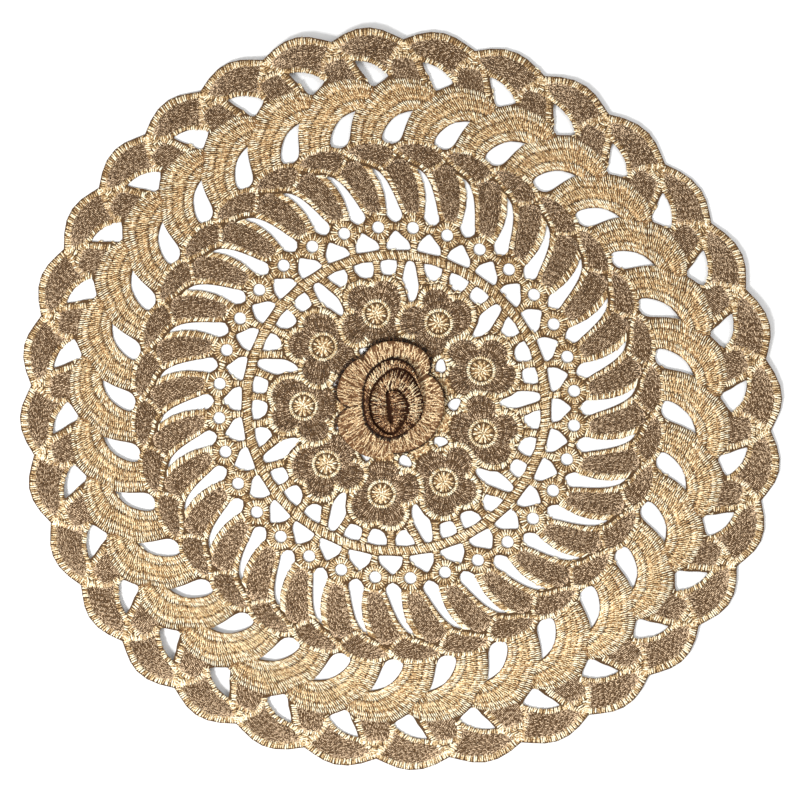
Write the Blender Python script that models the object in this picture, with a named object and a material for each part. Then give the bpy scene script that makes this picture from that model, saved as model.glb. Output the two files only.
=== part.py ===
"""Round lace placemat, embroidered in one piece, with a rose of two sewn-on pieces at its middle.

The mat lies in the XY plane with its underside at z = 0 and the middle of its outline's box at the origin.
"""

import cmath
import math
from collections import namedtuple

import bmesh
import bpy

MM = 0.001

# The mat
RIM_RADIUS = 190.0 * MM  # to the tips of the rim's scallops, before the mat's unevenness
GROUND_THICKNESS = 1.5 * MM  # the raised satin borders of the embroidery
REPEATS = 32  # scallops, blades and leaves round the mat
REPEAT_TURN = 360 / REPEATS
FIRST_REPEAT = 4.8  # degrees, to the first eyelet, counter-clockwise from +X
FLOWERS = 9
FLOWER_TURN = 360 / FLOWERS
FIRST_FLOWER = 21.5
EYELET_RING = 90.0  # mm, radius of the ring of eyelets
EYELET_HOLE = 3.2  # mm, radius of each hole
EYELET_SIDES = 10

# The rose, mm
ROSE_CENTRE = (-1.7, 1.1)
STITCH_GAP = 0.3  # between two sewn pieces
PETAL_THICKNESS = 1.4
PETAL_RISE = 1.7  # of a petal's free edge
PETAL_LAP = 0.45  # half the step where one petal lies over the next
ROLL_OFFSET = (1.0, 1.7)
ROLL_REACH = (15.6, 20.4)
ROLL_EDGE_HEIGHT = 3.3
ROLL_CROWN = 6.4  # height at its middle
ROLL_FOLD = 2.2  # depth of the folds between its turns
ROLL_FULL_WIDTH = 4.0  # of the strip, from which it is fully arched
ROLL_STEPS = 64  # to a turn
ROLL_ROWS = 6  # of faces, across the strip
SEAT_SHARE = 0.8  # of the petals' reach, flat under the roll

# How far the lying mat is pulled out of round: reach in mm at the rim, waves and start in degrees
Pull = namedtuple("Pull", "reach waves start")
PULLS = (Pull(3.7, -1, -45), Pull(2.0, 2, -18), Pull(1.9, -2, -58))

# A gap's width at each radius: radius in mm, both sides in degrees from the repeat's own middle
Section = namedtuple("Section", "radius start end")

OUTER_GAP = (
    Section(161.0, -2.2, -2.2),
    Section(163.0, -3.5, -1.5),
    Section(166.6, -5.1, -1.0),
    Section(170.0, -4.1, -0.4),
    Section(173.3, -2.4, 0.2),
    Section(175.2, 0.2, 0.2),
)
MIDDLE_GAP = (
    Section(132.0, 6.1, 6.1),
    Section(133.8, 4.4, 8.1),
    Section(138.0, 3.5, 7.9),
    Section(143.5, 2.8, 6.4),
    Section(147.5, 2.1, 4.5),
    Section(149.9, 1.5, 1.5),
)
LEAF_GAP = (
    Section(92.0, 5.6, 5.6),
    Section(95.5, 3.4, 8.2),
    Section(100.5, 4.5, 8.3),
    Section(107.0, 5.9, 8.7),
    Section(113.5, 7.6, 9.6),
    Section(118.5, 9.5, 10.9),
    Section(120.8, 11.5, 11.5),
)
EYELET_GAP = (
    Section(78.4, 0.7, 8.7),
    Section(80.5, 0.3, 9.1),
    Section(83.2, 1.2, 8.7),
    Section(86.2, 3.7, 7.2),
    Section(88.4, 5.6, 5.6),
)
LEFT_SPOKE_GAP = (
    Section(65.4, -11.2, -8.0),
    Section(67.0, -12.3, -5.8),
    Section(73.0, -12.7, -6.2),
)
MIDDLE_SPOKE_GAP = (
    Section(64.8, -0.4, -0.4),
    Section(66.6, -2.5, 3.8),
    Section(73.0, -2.9, 5.1),
)
RIGHT_SPOKE_GAP = (
    Section(64.6, 13.0, 13.0),
    Section(66.4, 9.2, 14.2),
    Section(73.0, 8.7, 16.6),
)
LARGE_SPOKE_GAP = (
    Section(51.9, 19.5, 19.5),
    Section(54.0, 17.2, 21.2),
    Section(58.5, 16.5, 23.0),
    Section(61.8, 16.8, 24.9),
    Section(67.0, 18.5, 24.6),
    Section(72.8, 20.4, 23.3),
)
ROSE_SIDE_GAP = (
    Section(26.2, 17.0, 17.0),
    Section(28.2, 12.0, 22.5),
    Section(31.2, 12.5, 24.0),
    Section(33.4, 21.5, 21.5),
)

# One scallop of the rim from valley to valley, as turn in degrees and radius in mm
RimPoint = namedtuple("RimPoint", "turn radius")
RIM_SCALLOP = (
    RimPoint(-7.65, 185.2),
    RimPoint(-6.2, 187.2),
    RimPoint(-4.4, 189.6),
    RimPoint(-2.6, 190.8),
    RimPoint(-0.6, 190.4),
    RimPoint(1.4, 188.4),
    RimPoint(2.6, 186.6),
)

# The fold between the turns of the rose's rolled middle, clockwise from the top of its slit, in mm from its middle
FoldPoint = namedtuple("FoldPoint", "across along")
FOLDS_TO_TURN = 8
SLIT_TOP = FoldPoint(-3.5, 2.9)
SLIT_BOTTOM = FoldPoint(-1.5, -12.1)
ROLL_FOLD_POINTS = (
    SLIT_TOP,
    FoldPoint(2.9, 3.3),
    FoldPoint(7.0, -3.3),
    FoldPoint(5.5, -10.5),
    FoldPoint(-1.0, -18.0),
    FoldPoint(-9.3, -13.0),
    FoldPoint(-12.1, -3.5),
    FoldPoint(-10.0, 6.0),
    FoldPoint(-1.5, 14.2),
    FoldPoint(7.5, 12.6),
    FoldPoint(14.9, -1.0),
    FoldPoint(11.5, -13.0),
    FoldPoint(-1.5, -20.2),
    FoldPoint(-12.6, -14.4),
    FoldPoint(-15.6, -2.0),
    FoldPoint(-13.0, 11.6),
    FoldPoint(-2.0, 20.0),
    FoldPoint(9.6, 15.4),
    FoldPoint(14.9, -1.0),
)

# The rose's petals: where each starts in degrees, how far it reaches, and the notch at its start, in mm
Petal = namedtuple("Petal", "start reach notch")
ROSE_PETALS = (
    Petal(37, 30.6, 22.5),
    Petal(123, 28.6, 26.5),
    Petal(187, 31.0, 21.0),
    Petal(265, 26.6, 25.8),
    Petal(397, 30.6, 22.5),
)


def material(name, colour, roughness):
    """Thread of one colour, plain and slightly glossy."""
    made = bpy.data.materials.new(name)
    made.use_nodes = True
    shader = made.node_tree.nodes["Principled BSDF"]
    shader.inputs["Base Color"].default_value = (*colour, 1.0)
    shader.inputs["Roughness"].default_value = roughness
    shader.inputs["Metallic"].default_value = 0.0
    made.diffuse_color = (*colour, 1.0)
    return made


def on_mat(radius, turn):
    """A point of the lying mat, in metres, from a radius in mm and a turn in degrees on the round pattern."""
    angle = math.radians(turn)
    share = (radius * MM / RIM_RADIUS) ** 2
    place = cmath.rect(radius, angle)
    for pull in PULLS:
        place += share * cmath.rect(pull.reach, pull.waves * angle + math.radians(pull.start))
    return place * MM


def gap_outline(sections, middle):
    """Up the sections' ends and back down their starts, as one closed outline; a pointed end is one point."""
    up = [on_mat(s.radius, middle + s.end) for s in sections]
    down = [on_mat(s.radius, middle + s.start) for s in reversed(sections) if s.start != s.end]
    return up + down


def eyelet_outline(middle):
    centre = on_mat(EYELET_RING, middle)
    corner = 2 * math.pi / EYELET_SIDES
    return [centre + cmath.rect(EYELET_HOLE * MM, corner * (side + 0.5)) for side in range(EYELET_SIDES)]


def rim_outline():
    return [
        on_mat(point.radius, FIRST_REPEAT + REPEAT_TURN * repeat + point.turn)
        for repeat in range(REPEATS)
        for point in RIM_SCALLOP
    ]


def ground_outlines():
    """The rim first, then every gap that goes through the lace."""
    outlines = [rim_outline()]
    for repeat in range(REPEATS):
        middle = FIRST_REPEAT + REPEAT_TURN * repeat
        for sections in (OUTER_GAP, MIDDLE_GAP, LEAF_GAP, EYELET_GAP):
            outlines.append(gap_outline(sections, middle))
        outlines.append(eyelet_outline(middle))
    for flower in range(FLOWERS):
        middle = FIRST_FLOWER + FLOWER_TURN * flower
        for sections in (
            LEFT_SPOKE_GAP,
            MIDDLE_SPOKE_GAP,
            RIGHT_SPOKE_GAP,
            LARGE_SPOKE_GAP,
            ROSE_SIDE_GAP,
        ):
            outlines.append(gap_outline(sections, middle))
    return outlines


def box_middle(outline):
    """Middle of an outline's box, which the whole mat is shifted by."""
    across = [point.real for point in outline]
    along = [point.imag for point in outline]
    return complex(min(across) + max(across), min(along) + max(along)) / 2


def make_ground(collection, outlines, shift):
    """The lace ground: one flat outline with its gaps, extruded to the thickness of the embroidery."""
    curve = bpy.data.curves.new("lace_ground", "CURVE")
    curve.dimensions = "2D"
    curve.fill_mode = "BOTH"
    curve.extrude = GROUND_THICKNESS / 2
    for outline in outlines:
        spline = curve.splines.new("POLY")
        spline.points.add(len(outline) - 1)
        for corner, point in zip(spline.points, outline):
            corner.co = (point.real - shift.real, point.imag - shift.imag, 0, 1)
        spline.use_cyclic_u = True
    curve.materials.append(material("gold_and_brown_thread", (0.36, 0.25, 0.14), 0.55))
    ground = bpy.data.objects.new("lace_ground", curve)
    ground.location.z = GROUND_THICKNESS / 2
    collection.objects.link(ground)


def turned_disc(profile, steps):
    """A closed disc turned from a profile of (share of the radius, level) pairs that starts and ends on the axis."""
    bm = bmesh.new()
    corners = [bm.verts.new((share, 0, level)) for share, level in profile]
    edges = [bm.edges.new(pair) for pair in zip(corners, corners[1:])]
    bmesh.ops.spin(
        bm,
        geom=corners + edges,
        axis=(0, 0, 1),
        cent=(0, 0, 0),
        angle=2 * math.pi,
        steps=steps,
        use_merge=True,
    )
    bmesh.ops.remove_doubles(bm, verts=bm.verts, dist=1e-6)
    bmesh.ops.recalc_face_normals(bm, faces=bm.faces)
    return bm


def finish_disc(bm, name, collection, thread):
    bmesh.ops.recalc_face_normals(bm, faces=bm.faces)
    mesh = bpy.data.meshes.new(name)
    bm.to_mesh(mesh)
    bm.free()
    mesh.shade_smooth()
    mesh.materials.append(thread)
    collection.objects.link(bpy.data.objects.new(name, mesh))


def petal_at(turn):
    """The petal's reach and notch at a turn in degrees, and the place across it from -1 to 1."""
    if turn < ROSE_PETALS[0].start:
        turn += 360
    for petal, following in zip(ROSE_PETALS, ROSE_PETALS[1:]):
        if turn < following.start:
            break
    share = (turn - petal.start) / (following.start - petal.start)
    notch = petal.notch + (following.notch - petal.notch) * share
    return petal.reach, notch, 2 * share - 1


def make_rose_petals(collection, centre):
    """The rose's outer petals: one layer of four, each lapped over the next, with their free edges raised."""
    underside = GROUND_THICKNESS / MM + STITCH_GAP
    levels = 8
    profile = [(0, 0), (1, 0)] + [(1 - step / levels, 1) for step in range(levels + 1)]
    bm = turned_disc(profile, steps=80)
    for vert in bm.verts:
        share = math.hypot(vert.co.x, vert.co.y)
        angle = math.atan2(vert.co.y, vert.co.x)
        reach, notch, across = petal_at(math.degrees(angle) % 360)
        radius = share * (notch + (reach - notch) * (1 - across**4))
        height = underside
        if vert.co.z > 0.5:
            free = max(0.0, (share - SEAT_SHARE) / (1 - SEAT_SHARE))
            height += PETAL_THICKNESS
            height += free * (PETAL_RISE * (1 - across**4) + PETAL_LAP * across)
        place = centre + cmath.rect(radius, angle) * MM
        vert.co = (place.real, place.imag, height * MM)
    finish_disc(bm, "rose_petals", collection, material("tan_thread", (0.42, 0.26, 0.13), 0.5))


def fold_at(turns):
    """The fold's place in mm after so many turns: the first turn goes down and up the slit."""
    if turns <= 1:
        top, bottom = complex(*SLIT_TOP), complex(*SLIT_BOTTOM)
        return top + (bottom - top) * (1 - math.cos(2 * math.pi * turns)) / 2
    last = len(ROLL_FOLD_POINTS) - 1
    at = (turns - 1) * FOLDS_TO_TURN
    index = min(int(at), last - 1)
    share = at - index
    a, b, c, d = (complex(*ROLL_FOLD_POINTS[min(max(i, 0), last)]) for i in range(index - 1, index + 3))
    bend = (2 * a - 5 * b + 4 * c - d) * share**2 + (3 * b - a - 3 * c + d) * share**3
    return (2 * b + (c - a) * share + bend) / 2


def roll_point(turns, share, underside):
    """A point across the strip's upper side after so many turns, as its place and level in mm."""
    inner, outer = fold_at(turns - 1), fold_at(turns)
    place = inner + (outer - inner) * share
    spread = (place.real / ROLL_REACH[0]) ** 2 + (place.imag / ROLL_REACH[1]) ** 2
    arch = math.sqrt(max(0.0, math.sin(math.pi * share))) * min(1.0, abs(outer - inner) / ROLL_FULL_WIDTH)
    height = ROLL_EDGE_HEIGHT + (ROLL_CROWN - ROLL_EDGE_HEIGHT) * max(0.0, 1 - spread)
    return place, underside + height - ROLL_FOLD * (1 - arch)


def make_rose_roll(collection, centre):
    """The rose's middle: a strip wound on edge round a long slit, as one solid with a fold between its turns."""
    underside = GROUND_THICKNESS / MM + 2 * STITCH_GAP + PETAL_THICKNESS
    turned = (len(ROLL_FOLD_POINTS) - 1) * ROLL_STEPS // FOLDS_TO_TURN
    bm = bmesh.new()
    rows = []
    for step in range(turned + 1):
        row = []
        for across in range(ROLL_ROWS + 1):
            place, level = roll_point(1 + step / ROLL_STEPS, across / ROLL_ROWS, underside)
            place = centre + place * MM
            row.append(bm.verts.new((place.real, place.imag, level * MM)))
        rows.append(row)
    for row, following in zip(rows, rows[1:]):
        for across in range(ROLL_ROWS):
            bm.faces.new((row[across], following[across], following[across + 1], row[across + 1]))
    outline = [row[-1] for row in rows[-ROLL_STEPS - 1:-1]]
    feet = [bm.verts.new((top.co.x, top.co.y, underside * MM)) for top in outline]
    for step in range(ROLL_STEPS):
        after = (step + 1) % ROLL_STEPS
        bm.faces.new((outline[step], outline[after], feet[after], feet[step]))
    bm.faces.new(feet)
    bmesh.ops.remove_doubles(bm, verts=bm.verts, dist=1e-6)
    finish_disc(bm, "rose_roll", collection, material("bronze_thread", (0.30, 0.17, 0.08), 0.5))


def main():
    for old in list(bpy.data.objects):
        bpy.data.objects.remove(old, do_unlink=True)
    collection = bpy.data.collections.new("lace_placemat")
    bpy.context.scene.collection.children.link(collection)
    outlines = ground_outlines()
    shift = box_middle(outlines[0])
    make_ground(collection, outlines, shift)
    rose = complex(*ROSE_CENTRE) * MM - shift
    make_rose_petals(collection, rose)
    make_rose_roll(collection, rose + complex(*ROLL_OFFSET) * MM)


main()
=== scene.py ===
import math

import bmesh
import bpy
import numpy as np
from mathutils import Matrix, Vector


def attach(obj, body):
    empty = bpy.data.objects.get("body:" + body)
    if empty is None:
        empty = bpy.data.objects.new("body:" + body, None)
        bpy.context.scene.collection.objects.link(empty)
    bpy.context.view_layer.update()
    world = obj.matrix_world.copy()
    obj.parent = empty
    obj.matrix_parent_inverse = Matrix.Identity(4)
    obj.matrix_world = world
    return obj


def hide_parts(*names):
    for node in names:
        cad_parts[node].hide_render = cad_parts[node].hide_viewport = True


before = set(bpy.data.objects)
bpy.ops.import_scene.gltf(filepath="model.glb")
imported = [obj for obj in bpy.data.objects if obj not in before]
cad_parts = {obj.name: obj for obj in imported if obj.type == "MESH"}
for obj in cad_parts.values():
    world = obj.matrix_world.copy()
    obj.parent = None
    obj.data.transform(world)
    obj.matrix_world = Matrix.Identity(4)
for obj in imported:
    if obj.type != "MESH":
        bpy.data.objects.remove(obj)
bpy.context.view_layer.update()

# The camera looks straight down on the lying mat, as the photograph does. The mat fills 95 % of the
# picture's width, a little right of and below its middle.
VIEW_WIDTH = 0.407  # of the table, seen across the picture
VIEW_MIDDLE = (-0.0005, -0.0003)
LENS = 85.0
SENSOR = 36.0


def new_object(name, data):
    made = bpy.data.objects.new(name, data)
    bpy.context.scene.collection.objects.link(made)
    return made


camera = new_object("camera", bpy.data.cameras.new("camera"))
camera.data.lens = LENS
camera.data.sensor_width = SENSOR
camera.location = (*VIEW_MIDDLE, VIEW_WIDTH * LENS / SENSOR)
camera.data.clip_start = 0.01
bpy.context.scene.camera = camera

# The backing is the dense net of thread that holds the whole mat together: one flat cloth with every gap of
# the lace in it. It is worked out as a round, even pattern of 32 repeats, in mm and degrees, and then pulled
# a little out of round, and up off the table in places, as the real mat lies. Its dark brown is partly
# painted shade, where it shows between the stitches and past their edges.
RIM_RADIUS = 190.0
REPEATS = 32
REPEAT_MIDDLES = 4.8 + 360 / REPEATS * np.arange(REPEATS)  # degrees
FLOWERS = 9
FLOWER_MIDDLES = 21.5 + 360 / FLOWERS * np.arange(FLOWERS)
MM = 0.001
BACKING_BOTTOM = 0.3  # mm; the threads of the underside hang below it
BACKING_TOP = 0.85  # mm; the stitches stand on it
# Reach at the rim in mm, waves round the mat, and start in degrees
PULLS = ((3.7, -1, -45), (2, 2, -18), (1.9, -2, -58))
# Places where the rim lifts: turn in degrees, half width in degrees, height in mm
LIFTS = ((101, 15, 4), (58, 14, 1.8), (14, 14, 2.6), (195, 12, 2.6), (230, 17, 4), (318, 22, 1.1))
LIFT_START = 95.0  # mm from the middle, inside which the mat lies flat
LIFT_CURVE = 1.5  # power of the rise from there to the rim
BEND_STEP = 15  # mm, between the cuts that let the backing bend
BEND_REACH = 180  # mm from the middle, to the last of them
# One scallop of the rim from valley to valley: turn in degrees, radius in mm
RIM = (
    (-7.65, 185.2), (-6.2, 187.2), (-4.4, 189.6), (-2.6, 190.8), (-0.6, 190.4), (1.4, 188.4), (2.6, 186.6),
)
# The gaps' widths: radius in mm, start and end in degrees from the repeat's middle
OUTER_GAP = (
    (161, -2.2, -2.2), (163, -3.5, -1.5), (166.6, -5.1, -0.9), (170, -4.1, -0.2), (173.3, -2.4, 0.3),
    (175.2, 0.3, 0.3),
)
MIDDLE_GAP = (
    (132, 6.1, 6.1), (133.8, 4.4, 8.1), (138, 3.5, 7.9), (143.5, 2.8, 6.4), (147.5, 2.1, 4.5),
    (149.9, 1.5, 1.5),
)
LEAF_GAP = (
    (92, 5.6, 5.6), (95.5, 3.4, 8.2), (100.5, 4.5, 8.3), (107, 5.9, 8.7), (113.5, 7.6, 9.6),
    (118.5, 9.5, 10.9), (120.8, 11.5, 11.5),
)
EYELET_GAP = ((78.4, 0.7, 8.7), (80.5, 0.3, 9.1), (83.2, 1.2, 8.7), (86.2, 3.7, 7.2), (88.4, 5.6, 5.6))
SPOKE_GAPS = (
    ((65.4, -11.2, -8), (67, -12.3, -5.8), (73, -12.7, -6.2)),
    ((64.8, -0.4, -0.4), (66.6, -2.5, 3.8), (73, -2.9, 5.1)),
    ((64.6, 13, 13), (66.4, 9.2, 14.2), (73, 8.7, 16.6)),
    (
        (51.9, 19.5, 19.5), (54, 17.2, 21.2), (58.5, 16.5, 23), (61.8, 16.8, 24.9), (67, 18.5, 24.6),
        (72.8, 20.4, 23.3),
    ),
    ((26.2, 17, 17), (28.2, 12, 22.5), (31.2, 12.5, 24), (33.4, 21.5, 21.5)),
)
EYELET_RING = 90.0
EYELET_HOLE = 3.1
EYELET_SIDES = 14
RIM_SHADE_MARGIN = 0.35  # mm by which the backing reaches past the rim's edge, a dark line of painted shade
GAP_SHADE_MARGIN = 0.25  # mm by which it reaches into the gaps, the same painted shade along their edges


def lay(place):
    """Where a point of the even pattern, a complex number in mm, lies before the mat is centred."""
    share = (np.abs(place) / RIM_RADIUS) ** 2
    angle = np.angle(place)
    moved = place
    for reach, waves, start in PULLS:
        moved = moved + share * reach * np.exp(1j * (waves * angle + math.radians(start)))
    return moved


def pattern(turn, radius):
    """Points of the even pattern from turns in degrees and radii in mm."""
    return np.asarray(radius) * np.exp(1j * np.radians(turn))


rim_turns, rim_radii = np.array(RIM).T
rim_points = lay(np.concatenate([pattern(middle + rim_turns, rim_radii) for middle in REPEAT_MIDDLES]))
MIDDLE = complex(
    rim_points.real.min() + rim_points.real.max(), rim_points.imag.min() + rim_points.imag.max()
) / 2


def on_mat(place):
    """A point of the even pattern, put on the lying mat in metres."""
    return (lay(place) - MIDDLE) * MM


def lift(place):
    """How far the mat stands off the table at a place on it, in metres."""
    radius = np.abs(place) / MM
    turn = np.degrees(np.angle(place))
    rise = np.clip((radius - LIFT_START) / (RIM_RADIUS - LIFT_START), 0, 1.2) ** LIFT_CURVE
    height = np.zeros(np.shape(place))
    for middle, half_width, top in LIFTS:
        away = (turn - middle + 180) % 360 - 180
        height += top * np.exp(-((away / half_width) ** 2))
    return height * rise * MM


def smooth(rows, steps, closed=False):
    """A curve through the points of a table, with the same number of steps between each two."""
    points = np.array(rows, dtype=complex)
    if closed:
        ends = [points[-1:], points, points[:2]]
    else:
        ends = [2 * points[:1] - points[1:2], points, 2 * points[-1:] - points[-2:-1]]
    p = np.concatenate(ends)
    share = np.arange(steps)[:, None] / steps
    a, b, c, d = p[:-3], p[1:-2], p[2:-1], p[3:]
    curve = 0.5 * (
        2 * b + (c - a) * share + (2 * a - 5 * b + 4 * c - d) * share**2 + (3 * b - a - 3 * c + d) * share**3
    )
    curve = curve.T.ravel()
    return curve if closed else np.append(curve, points[-1])


def gap_outline(sections, middle, grow=0.0):
    """A gap's closed outline from the table of its widths, made wider all round by so many mm."""
    up = [(end, radius) for radius, start, end in sections]
    down = [(start, radius) for radius, start, end in reversed(sections) if start != end]
    turns, radii = np.array(up + down).T
    outline = smooth(pattern(middle + turns, radii), 2, closed=True)
    outward = outline - outline.mean()
    return outline + grow * outward / np.abs(outward)


def lace_outlines():
    """The backing's edge and all its gaps, as closed outlines in the even pattern."""
    rim = [pattern(middle + rim_turns, rim_radii + RIM_SHADE_MARGIN) for middle in REPEAT_MIDDLES]
    outlines = [np.concatenate(rim)]
    eyelet_edge = pattern(360 * np.arange(EYELET_SIDES) / EYELET_SIDES, EYELET_HOLE)
    for middle in REPEAT_MIDDLES:
        for gap in (OUTER_GAP, MIDDLE_GAP, LEAF_GAP, EYELET_GAP):
            outlines.append(gap_outline(gap, middle, -GAP_SHADE_MARGIN))
        outlines.append(pattern(middle, EYELET_RING) + eyelet_edge)
    for middle in FLOWER_MIDDLES:
        outlines += [gap_outline(gap, middle, -GAP_SHADE_MARGIN) for gap in SPOKE_GAPS]
    return outlines


def add_node(tree, kind, inputs, **settings):
    """A shader node with its settings; each input gets a value, or the output that feeds it."""
    made = tree.nodes.new("ShaderNode" + kind)
    for name, value in settings.items():
        setattr(made, name, value)
    feed(tree, made, inputs)
    return made


def feed(tree, node, inputs):
    for name, value in inputs.items():
        if isinstance(value, bpy.types.NodeSocket):
            tree.links.new(value, node.inputs[name])
        else:
            node.inputs[name].default_value = value


def calculated(tree, operation, *values):
    return add_node(tree, "Math", dict(enumerate(values)), operation=operation).outputs[0]


def new_material(name):
    """A material, its node tree and its shader node."""
    made = bpy.data.materials.new(name)
    made.use_nodes = True
    return made, made.node_tree, made.node_tree.nodes["Principled BSDF"]


def net_thread(name, dark, light):
    """The backing's crossed threads: a fine net in the table's plane, uneven in tone."""
    made, tree, shader = new_material(name)
    place = add_node(tree, "TexCoord", {}).outputs["Object"]
    net = add_node(tree, "TexVoronoi", {"Scale": 1400, "Vector": place})
    patches = add_node(tree, "TexNoise", {"Scale": 900, "Detail": 3, "Vector": place})
    colours = {"A": (*dark, 1), "B": (*light, 1), "Factor": patches.outputs["Fac"]}
    colour = add_node(tree, "Mix", colours, data_type="RGBA")
    bump = add_node(tree, "Bump", {"Strength": 0.6, "Distance": 0.0002, "Height": net.outputs["Distance"]})
    feed(tree, shader, {
        "Roughness": 0.9, "Specular IOR Level": 0.05,
        "Base Color": colour.outputs["Result"], "Normal": bump.outputs["Normal"],
    })
    return made


def closed_up(bm):
    """The mesh without double points, and with its faces outwards."""
    bmesh.ops.remove_doubles(bm, verts=bm.verts, dist=1e-6)
    bmesh.ops.recalc_face_normals(bm, faces=bm.faces)
    return bm


def cut(bm, place, axis):
    bmesh.ops.bisect_plane(bm, geom=bm.verts[:] + bm.edges[:] + bm.faces[:], plane_co=place, plane_no=axis)


def make_backing():
    curve = bpy.data.curves.new("backing", "CURVE")
    curve.dimensions = "2D"
    curve.fill_mode = "BOTH"
    curve.extrude = (BACKING_TOP - BACKING_BOTTOM) * MM / 2
    for outline in lace_outlines():
        corners = on_mat(outline)
        spline = curve.splines.new("POLY")
        spline.points.add(len(corners) - 1)
        spline.use_cyclic_u = True
        for point, corner in zip(spline.points, corners):
            point.co = (corner.real, corner.imag, 0, 1)
    drawn = new_object("backing_outline", curve)
    graph = bpy.context.evaluated_depsgraph_get()
    bm = bmesh.new()
    bm.from_mesh(bpy.data.meshes.new_from_object(drawn.evaluated_get(graph)))
    bpy.data.objects.remove(drawn)
    closed_up(bm)
    for across in range(-BEND_REACH, BEND_REACH + 1, BEND_STEP):
        for axis in ((1, 0, 0), (0, 1, 0)):
            cut(bm, [across * MM * share for share in axis], axis)
    bmesh.ops.translate(bm, verts=bm.verts, vec=(0, 0, (BACKING_TOP + BACKING_BOTTOM) * MM / 2))
    for vert in bm.verts:
        vert.co.z += float(lift(complex(vert.co.x, vert.co.y)))
    mesh = bpy.data.meshes.new("lace_backing")
    bm.to_mesh(mesh)
    bm.free()
    # Painted shade, in part: the net is darker than the thread, and stands for the deep shade between
    # stitches.
    mesh.materials.append(net_thread("brown_net", (0.028, 0.014, 0.006), (0.11, 0.062, 0.028)))
    return new_object("lace_backing", mesh)


backing = make_backing()
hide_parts("lace_ground")
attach(backing, "root")

# The scalloped rim: each scallop is a hook of brown fill between two gold satin borders, with gold lines
# that cross from its valleys to the openings below. The satin is stitched across the borders, close and
# slightly arched, and the fill is rows of short stitches along the scallop.
STITCH_PITCH = 1.08
STITCH_LEVEL = BACKING_TOP - 0.15  # mm, where the stitches start and end
SATIN_HEIGHTS = (0.6, 0.8)  # mm, the lowest and the highest
SATIN_WIDTH = 1.06  # of a stitch, across the thread
FILL_PITCH = 0.86
FILL_LENGTH = 2.9
FILL_SHORTEST = 0.7
FILL_SHIFT = 0.15  # mm, give or take, along its row
FILL_CLEAR = (0.1, 0.15)  # mm, at the start and the end of each stitch
FILL_HEIGHTS = (0.385, 0.605)
FILL_WIDTH = 0.74
CURVE_STEPS = 6  # between two points of a table
EDGE_POINTS = 60
chance = np.random.default_rng(32)
sewn = []  # the ends of all stitches so far


def strand_group():
    """Fine strands along each stitch, from its own UV map: a height, and painted shade in the grooves."""
    group = bpy.data.node_groups.new("strands", "ShaderNodeTree")
    for name in ("Height", "Shade"):
        group.interface.new_socket(name, in_out="OUTPUT", socket_type="NodeSocketFloat")
    uv = add_node(group, "UVMap", {}, uv_map="strand")
    split = add_node(group, "SeparateXYZ", {0: uv.outputs["UV"]})
    twist = calculated(group, "MULTIPLY_ADD", split.outputs["X"], STRAND_TWIST, split.outputs["Y"])
    wave = calculated(group, "SINE", calculated(group, "MULTIPLY", twist, STRAND_WAVES))
    shade = add_node(group, "MapRange", {"Value": wave, "From Min": -1, "To Min": STRAND_PAINTED_SHADE})
    outside = group.nodes.new("NodeGroupOutput")
    feed(group, outside, {"Height": wave, "Shade": shade.outputs["Result"]})
    return group


STRAND_TWIST = 0.35
STRAND_PAINTED_SHADE = 0.72  # painted shade: the share of the thread's colour left between two strands
STRAND_WAVES = 14  # across a stitch, in radians
STRANDS = strand_group()


def thread(name, dark, middle, light, roughness=0.5, flecks_scale=1300, flecks=2.6):
    """Embroidery thread: each stitch has its own tone between three colours, with fine strands along it."""
    made, tree, shader = new_material(name)
    tone = add_node(tree, "Attribute", {}, attribute_name="tone")
    place = add_node(tree, "TexCoord", {}).outputs["Object"]
    wander = add_node(tree, "TexNoise", {"Scale": flecks_scale, "Detail": 1, "Vector": place})
    flecked = calculated(tree, "MULTIPLY_ADD", wander.outputs["Fac"], flecks, tone.outputs["Fac"])
    ramp = add_node(tree, "ValToRGB", {"Fac": calculated(tree, "SUBTRACT", flecked, flecks / 2)})
    ramp.color_ramp.elements[0].color = (*dark, 1)
    ramp.color_ramp.elements[1].color = (*light, 1)
    ramp.color_ramp.elements.new(0.5).color = (*middle, 1)
    strands = add_node(tree, "Group", {}, node_tree=STRANDS)
    colours = {"Factor": 1, "A": ramp.outputs["Color"], "B": strands.outputs["Shade"]}
    shaded = add_node(tree, "Mix", colours, data_type="RGBA", blend_type="MULTIPLY")
    ridges = {"Strength": 0.35, "Distance": 0.0001, "Height": strands.outputs["Height"]}
    bump = add_node(tree, "Bump", ridges)
    feed(tree, shader, {
        "Roughness": roughness, "Specular IOR Level": 0.2,
        "Base Color": shaded.outputs["Result"], "Normal": bump.outputs["Normal"],
    })
    return made


def stitch_shape(cuts, end_width, start_height, end_height):
    """One stitch: a closed ridge along X, one unit long, wide and high, thinner and lower at its ends."""
    bm = bmesh.new()
    bmesh.ops.create_cone(bm, cap_ends=True, segments=3, radius1=1, radius2=1, depth=1)
    bmesh.ops.rotate(bm, verts=bm.verts, cent=(0, 0, 0), matrix=Matrix.Rotation(math.pi / 2, 3, "Y"))
    for place in cuts:
        cut(bm, (place, 0, 0), (1, 0, 0))
    bmesh.ops.triangulate(bm, faces=bm.faces)
    straight = max(map(abs, cuts), default=0.0)
    for vert in bm.verts:
        end = max(0.0, (abs(vert.co.x) - straight) / (0.5 - straight))
        dip = 1 - (end_height if vert.co.x > 0 else start_height)
        ridge = vert.co.y > 0.5
        side = 0 if ridge else math.copysign(0.5, vert.co.z)
        vert.co.y = side * (1 - (1 - end_width) * end)
        vert.co.z = (1 - dip * end) if ridge else 0
        vert.co.x += 0.5
    closed_up(bm)
    corners = np.array([vert.co[:] for vert in bm.verts])
    faces = np.array([[vert.index for vert in face.verts] for face in bm.faces])
    bm.free()
    return corners, faces


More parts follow.
